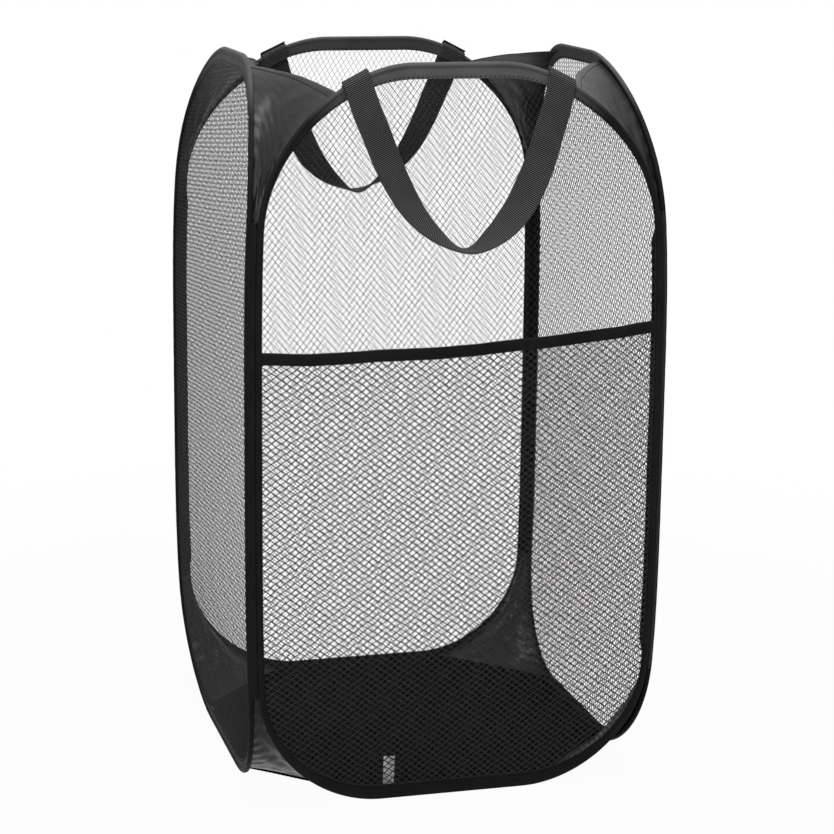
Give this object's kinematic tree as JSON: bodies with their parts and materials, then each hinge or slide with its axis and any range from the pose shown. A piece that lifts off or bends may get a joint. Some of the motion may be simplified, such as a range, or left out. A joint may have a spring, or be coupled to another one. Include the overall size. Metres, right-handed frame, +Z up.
{
  "type": "pop up laundry hamper",
  "caption": "Square pop up hamper with netted panels in sprung wire loops, folding corners, webbing handles, corner gussets and a front net pocket.",
  "frame": {"origin": "on the floor, under the middle of the hamper", "axes": "+Z up, -Y out of the front panel that carries the pocket, +X towards the right panel as the front is faced"},
  "size_m": [0.3546, 0.4006, 0.61],
  "materials": {
    "tape": "matt woven binding tape",
    "net": "matt knitted net",
    "taffeta": "satin taffeta",
    "webbing": "ribbed matt webbing",
    "steel": "drawn spring steel",
    "sleeve": "crimped steel sleeve",
    "tag": "plain white woven tag"
  },
  "bodies": {
    "front": {"front_frame_wire": "steel", "front_wire_ferrule": "sleeve", "front_rim_binding": "tape", "front_net": "net", "front_handle_right_tab": "webbing", "front_handle_left_tab": "webbing", "pocket_net": "net", "pocket_binding": "tape", "blank_tag": "tag", "base_panel": "taffeta", "front_left_corner_seam": "tape", "front_left_top_gusset": "taffeta", "front_left_bottom_gusset": "taffeta", "front_right_corner_seam": "tape", "front_right_top_gusset": "taffeta", "front_right_bottom_gusset": "taffeta"},
    "left": {"left_frame_wire": "steel", "left_wire_ferrule": "sleeve", "left_rim_binding": "tape", "left_net": "net", "back_left_corner_seam": "tape", "back_left_top_gusset": "taffeta", "back_left_bottom_gusset": "taffeta"},
    "right": {"right_frame_wire": "steel", "right_wire_ferrule": "sleeve", "right_rim_binding": "tape", "right_net": "net", "back_right_corner_seam": "tape", "back_right_top_gusset": "taffeta", "back_right_bottom_gusset": "taffeta"},
    "back": {"back_frame_wire": "steel", "back_wire_ferrule": "sleeve", "back_rim_binding": "tape", "back_net": "net", "back_handle_right_tab": "webbing", "back_handle_left_tab": "webbing"},
    "front_handle": {"front_handle_strap": "webbing"},
    "back_handle": {"back_handle_strap": "webbing"}
  },
  "joints": [
    {"name": "left_fold", "type": "hinge", "parent": "front", "child": "left", "pos_m": [-0.17, -0.17, 0], "axis": [0, 0, -1], "range_deg": [-60, 60], "stiffness_Nm_per_rad": 0.3, "deforming": ["base_panel", "front_left_corner_seam", "front_left_top_gusset", "front_left_bottom_gusset"]},
    {"name": "right_fold", "type": "hinge", "parent": "front", "child": "right", "pos_m": [0.17, -0.17, 0], "axis": [0, 0, -1], "range_deg": [-60, 60], "deforming": ["front_right_corner_seam", "front_right_top_gusset", "front_right_bottom_gusset", "back_right_corner_seam", "back_right_top_gusset", "back_right_bottom_gusset"]},
    {"name": "back_fold", "type": "hinge", "parent": "left", "child": "back", "pos_m": [-0.17, 0.17, 0], "axis": [0, 0, 1], "range_deg": [-60, 60], "deforming": ["back_left_corner_seam", "back_left_top_gusset", "back_left_bottom_gusset"]},
    {"name": "front_handle_swing", "type": "hinge", "parent": "front", "child": "front_handle", "pos_m": [0, -0.1591, 0.6004], "axis": [-1, 0, 0], "range_deg": [0, 170]},
    {"name": "back_handle_swing", "type": "hinge", "parent": "back", "child": "back_handle", "pos_m": [0, 0.1591, 0.6004], "axis": [1, 0, 0], "range_deg": [0, 170]}
  ],
  "couplings": [
    {"joint": "right_fold", "follows": "left_fold", "ratio": 1},
    {"joint": "back_fold", "follows": "left_fold", "ratio": 1}
  ]
}
